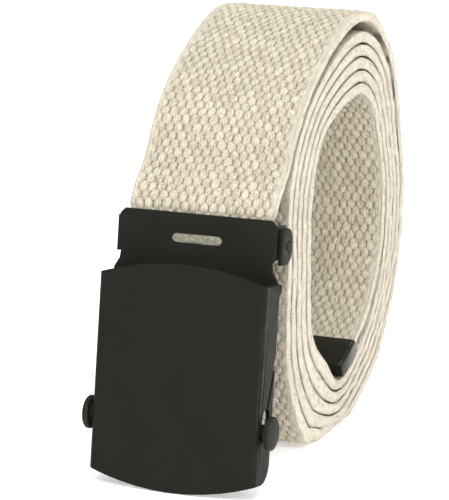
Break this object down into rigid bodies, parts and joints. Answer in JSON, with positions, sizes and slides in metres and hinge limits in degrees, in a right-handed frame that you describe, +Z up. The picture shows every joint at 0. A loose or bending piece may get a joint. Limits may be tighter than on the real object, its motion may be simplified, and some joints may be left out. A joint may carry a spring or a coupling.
{
  "type": "canvas web belt",
  "caption": "Cotton canvas web belt rolled into an upright oval coil, with a black slide buckle in front and a metal tip on the inner end.",
  "frame": {"origin": "middle of the footprint, at the plane the coil and the buckle's lower edge rest on", "axes": "+Z up, +X along the web's width, -Y out of the buckle's face"},
  "size_m": [0.0492, 0.118, 0.107],
  "materials": {
    "canvas": "undyed cotton web in a coarse staggered weave",
    "black_paint": "satin black paint on sheet steel",
    "nickel": "dull nickel plate, left bare"
  },
  "bodies": {
    "belt": {"web_strap": "canvas", "belt_tip": "black_paint", "band_frame": "black_paint", "name_plate_blank": "nickel", "clamp_jaw": "black_paint", "clamp_pivot_left": "black_paint", "clamp_pivot_right": "black_paint", "face_cover": "black_paint"},
    "bar": {"lock_bar": "black_paint"}
  },
  "joints": [
    {"name": "bar_slide", "type": "slide", "parent": "belt", "child": "bar", "axis": [0, 0.4446, 0.8957], "range_m": [0, 0.0036]}
  ]
}
